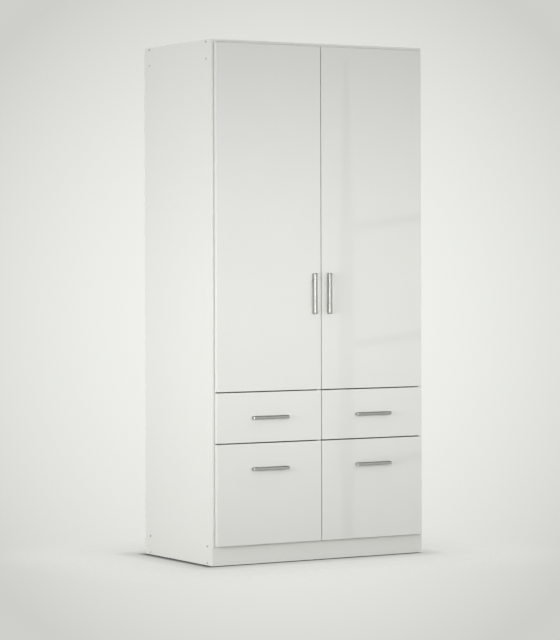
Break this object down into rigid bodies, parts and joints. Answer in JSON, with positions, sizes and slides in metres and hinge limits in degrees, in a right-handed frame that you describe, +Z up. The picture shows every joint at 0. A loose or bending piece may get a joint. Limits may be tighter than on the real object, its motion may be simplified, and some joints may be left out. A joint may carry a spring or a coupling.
{
  "type": "wardrobe",
  "caption": "Tall white wardrobe: hinged gloss doors over a hanging space with rail and hat shelf, sliding drawers below, bar handles, plinth base.",
  "frame": {"origin": "on the floor, under the middle of the whole box, handles included", "axes": "+X to the right seen from the front, +Y to the back, +Z up; the doors face -Y"},
  "size_m": [0.95, 0.5784, 2],
  "materials": {
    "carcass_board": "white melamine, fine matte grain",
    "front_gloss": "white high-gloss foil",
    "drawer_board": "white foil, satin",
    "thin_sheet": "hardboard, lacquered white on one face",
    "handle_steel": "brushed along the bar",
    "fitting_steel": "nickel plated",
    "rail_chrome": "chrome plated",
    "screw_steel": "zinc plated, dull",
    "white_plastic": "moulded, satin",
    "glide_plastic": "moulded, dark grey",
    "bumper_rubber": "soft, pale",
    "dowel_wood": "fluted beech"
  },
  "bodies": {
    "carcass": {"back_joint_strip": "white_plastic", "back_panels": "thin_sheet", "bottom_panel": "carcass_board", "bumpers": "bumper_rubber", "carcass_screws": "screw_steel", "centre_partition": "carcass_board", "clothes_rail": "rail_chrome", "drawer_rails": "white_plastic", "drawer_shelf": "carcass_board", "floor_glides": "glide_plastic", "hat_shelf": "carcass_board", "hinge_arms": "fitting_steel", "hinge_plates": "fitting_steel", "joint_dowels": "dowel_wood", "left_side_panel": "carcass_board", "plinth_board": "carcass_board", "rail_sockets": "white_plastic", "rear_plinth_rail": "carcass_board", "right_side_panel": "carcass_board", "shelf_pins": "white_plastic", "top_panel": "carcass_board", "wall_brackets": "fitting_steel"},
    "left_door": {"left_door_handle": "handle_steel", "left_door_handle_screws": "screw_steel", "left_door_hinge_cups": "fitting_steel", "left_door_hinge_pins": "screw_steel", "left_door_panel": "front_gloss"},
    "right_door": {"right_door_handle": "handle_steel", "right_door_handle_screws": "screw_steel", "right_door_hinge_cups": "fitting_steel", "right_door_hinge_pins": "screw_steel", "right_door_panel": "front_gloss"},
    "upper_left_drawer": {"upper_left_drawer_back": "drawer_board", "upper_left_drawer_bottom": "thin_sheet", "upper_left_drawer_front": "front_gloss", "upper_left_drawer_handle": "handle_steel", "upper_left_drawer_handle_screws": "screw_steel", "upper_left_drawer_inner_side": "drawer_board", "upper_left_drawer_outer_side": "drawer_board"},
    "upper_right_drawer": {"upper_right_drawer_back": "drawer_board", "upper_right_drawer_bottom": "thin_sheet", "upper_right_drawer_front": "front_gloss", "upper_right_drawer_handle": "handle_steel", "upper_right_drawer_handle_screws": "screw_steel", "upper_right_drawer_inner_side": "drawer_board", "upper_right_drawer_outer_side": "drawer_board"},
    "lower_left_drawer": {"lower_left_drawer_back": "drawer_board", "lower_left_drawer_bottom": "thin_sheet", "lower_left_drawer_front": "front_gloss", "lower_left_drawer_handle": "handle_steel", "lower_left_drawer_handle_screws": "screw_steel", "lower_left_drawer_inner_side": "drawer_board", "lower_left_drawer_outer_side": "drawer_board"},
    "lower_right_drawer": {"lower_right_drawer_back": "drawer_board", "lower_right_drawer_bottom": "thin_sheet", "lower_right_drawer_front": "front_gloss", "lower_right_drawer_handle": "handle_steel", "lower_right_drawer_handle_screws": "screw_steel", "lower_right_drawer_inner_side": "drawer_board", "lower_right_drawer_outer_side": "drawer_board"}
  },
  "joints": [
    {"name": "left_door_hinge", "type": "hinge", "parent": "carcass", "child": "left_door", "pos_m": [-0.45753, -0.26325, 1.32475], "axis": [0, 0, -1], "range_deg": [0, 95]},
    {"name": "right_door_hinge", "type": "hinge", "parent": "carcass", "child": "right_door", "pos_m": [0.45753, -0.26325, 1.32475], "axis": [0, 0, 1], "range_deg": [0, 95]},
    {"name": "upper_left_drawer_slide", "type": "slide", "parent": "carcass", "child": "upper_left_drawer", "axis": [0, -1, 0], "range_m": [0, 0.35]},
    {"name": "upper_right_drawer_slide", "type": "slide", "parent": "carcass", "child": "upper_right_drawer", "axis": [0, -1, 0], "range_m": [0, 0.35]},
    {"name": "lower_left_drawer_slide", "type": "slide", "parent": "carcass", "child": "lower_left_drawer", "axis": [0, -1, 0], "range_m": [0, 0.35]},
    {"name": "lower_right_drawer_slide", "type": "slide", "parent": "carcass", "child": "lower_right_drawer", "axis": [0, -1, 0], "range_m": [0, 0.35]}
  ]
}
